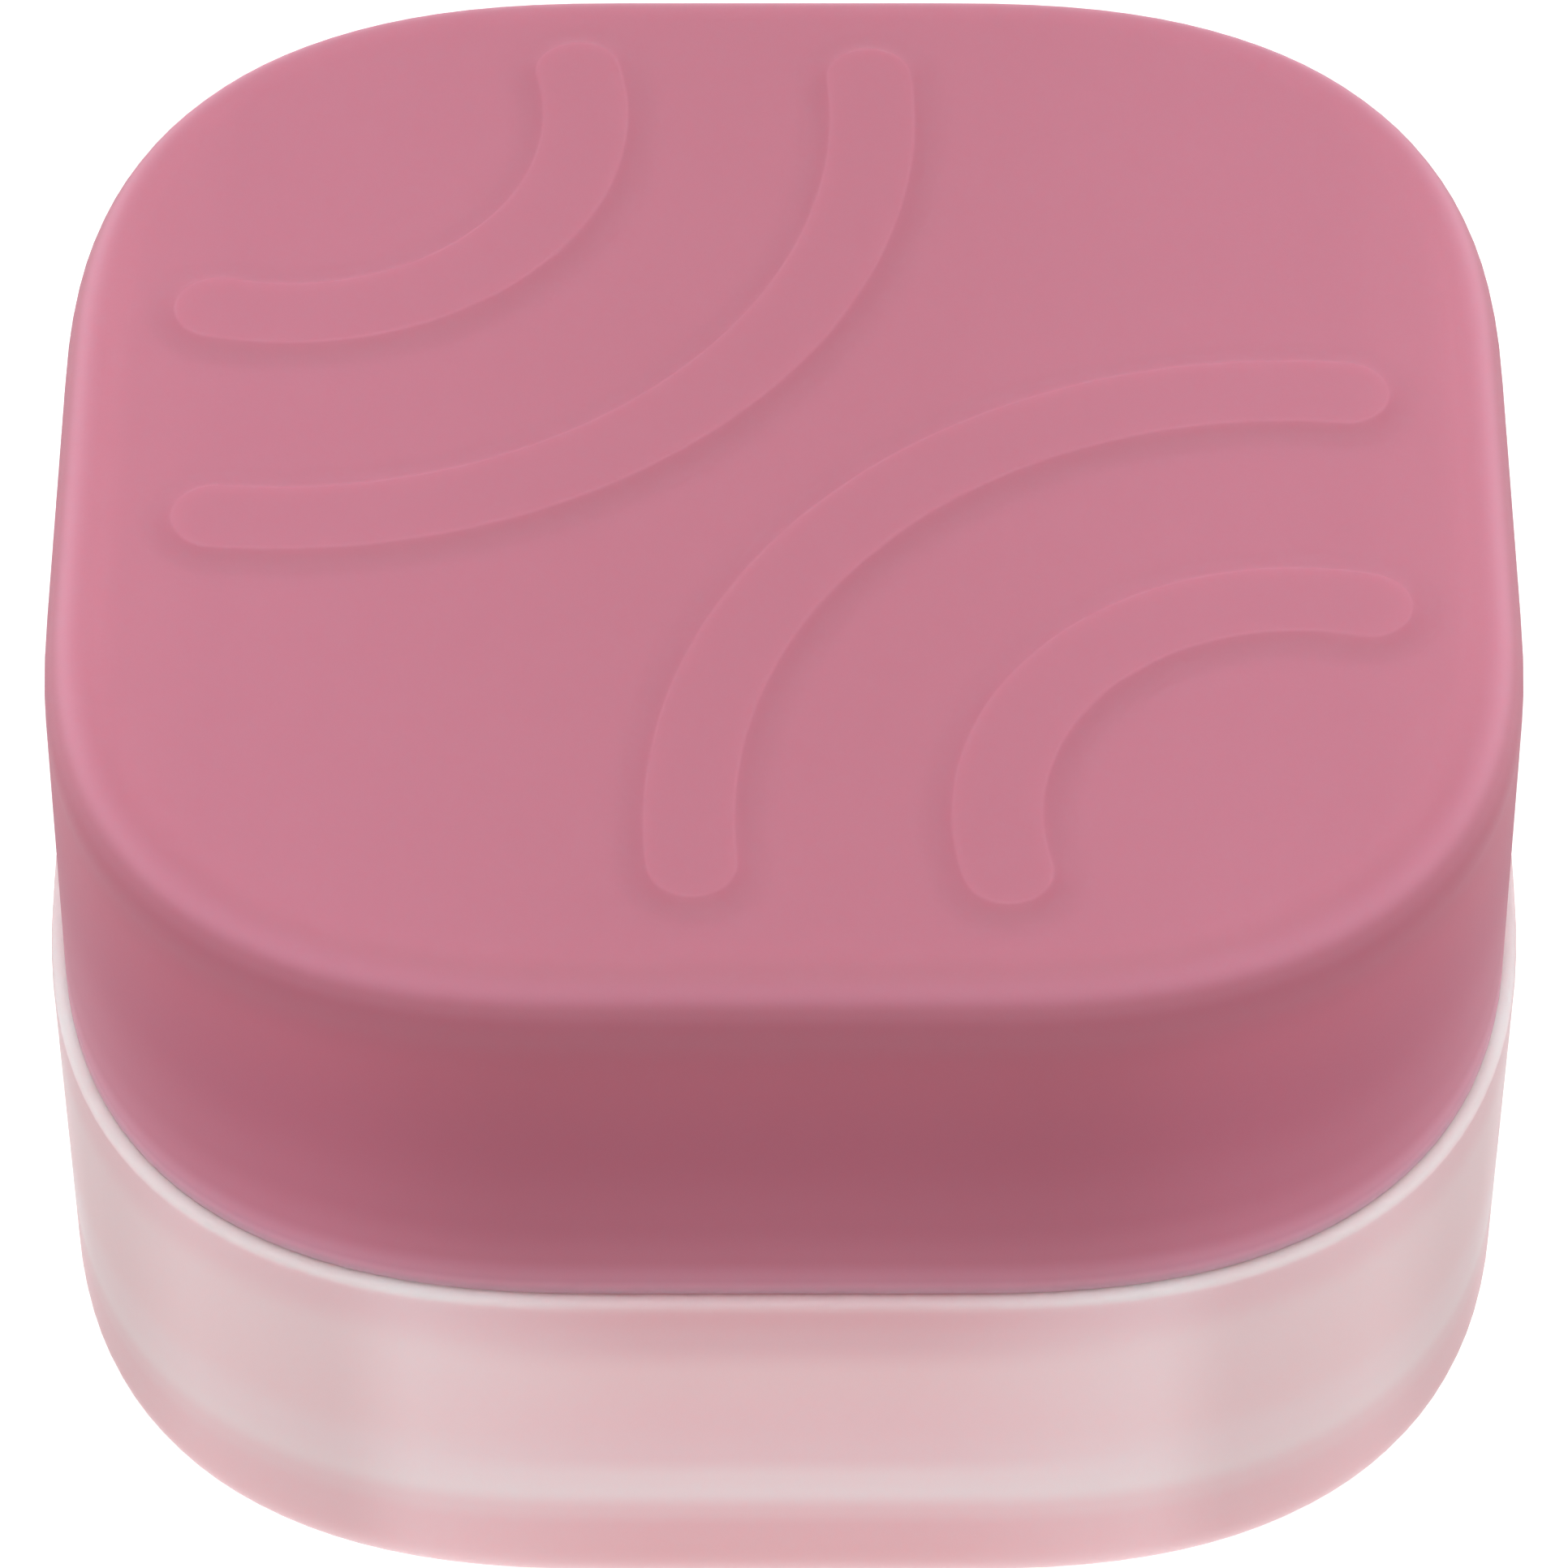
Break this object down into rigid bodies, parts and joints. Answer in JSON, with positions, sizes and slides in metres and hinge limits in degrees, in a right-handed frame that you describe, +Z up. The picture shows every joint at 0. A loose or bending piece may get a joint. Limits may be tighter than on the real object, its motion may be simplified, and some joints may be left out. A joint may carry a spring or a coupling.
{
  "type": "silicone cupping cup with storage jar",
  "caption": "Low, rounded-square silicone cupping cup with raised grip ridges, stored mouth down on a frosted balm jar with a lift-out bowl and a sealing disc.",
  "frame": {"origin": "on the surface that the jar stands on, under the middle of the jar", "axes": "+Z up through the crown, -Y is the front, +X is to the right seen from the front"},
  "size_m": [0.0652, 0.0652, 0.0392],
  "materials": {
    "rose_silicone": "opaque dusty-rose silicone with a fine satin surface",
    "soft_white_plastic": "flexible milky plastic, satin",
    "pale_pink_plastic": "opaque pale-pink moulded plastic, polished",
    "rose_plastic": "rose moulded plastic, satin",
    "clear_rubber": "milky translucent silicone rubber",
    "frosted_acrylic": "frosted, translucent, pale-pink tinted acrylic",
    "pale_rubber": "matte pale rubber"
  },
  "bodies": {
    "jar": {"frosted_jar": "frosted_acrylic", "neck_collar": "rose_plastic", "seal_ring": "clear_rubber", "foot_pad": "pale_rubber"},
    "bowl": {"inner_bowl": "pale_pink_plastic"},
    "disc": {"sealing_disc": "soft_white_plastic"},
    "cup": {"cupping_cup": "rose_silicone"}
  },
  "joints": [
    {"name": "bowl_lift", "type": "slide", "parent": "jar", "child": "bowl", "axis": [0, 0, 1], "range_m": [0, 0.03]},
    {"name": "disc_lift", "type": "slide", "parent": "bowl", "child": "disc", "axis": [0, 0, 1], "range_m": [0, 0.02]},
    {"name": "cup_lift", "type": "slide", "parent": "disc", "child": "cup", "axis": [0, 0, 1], "range_m": [0, 0.05]}
  ]
}
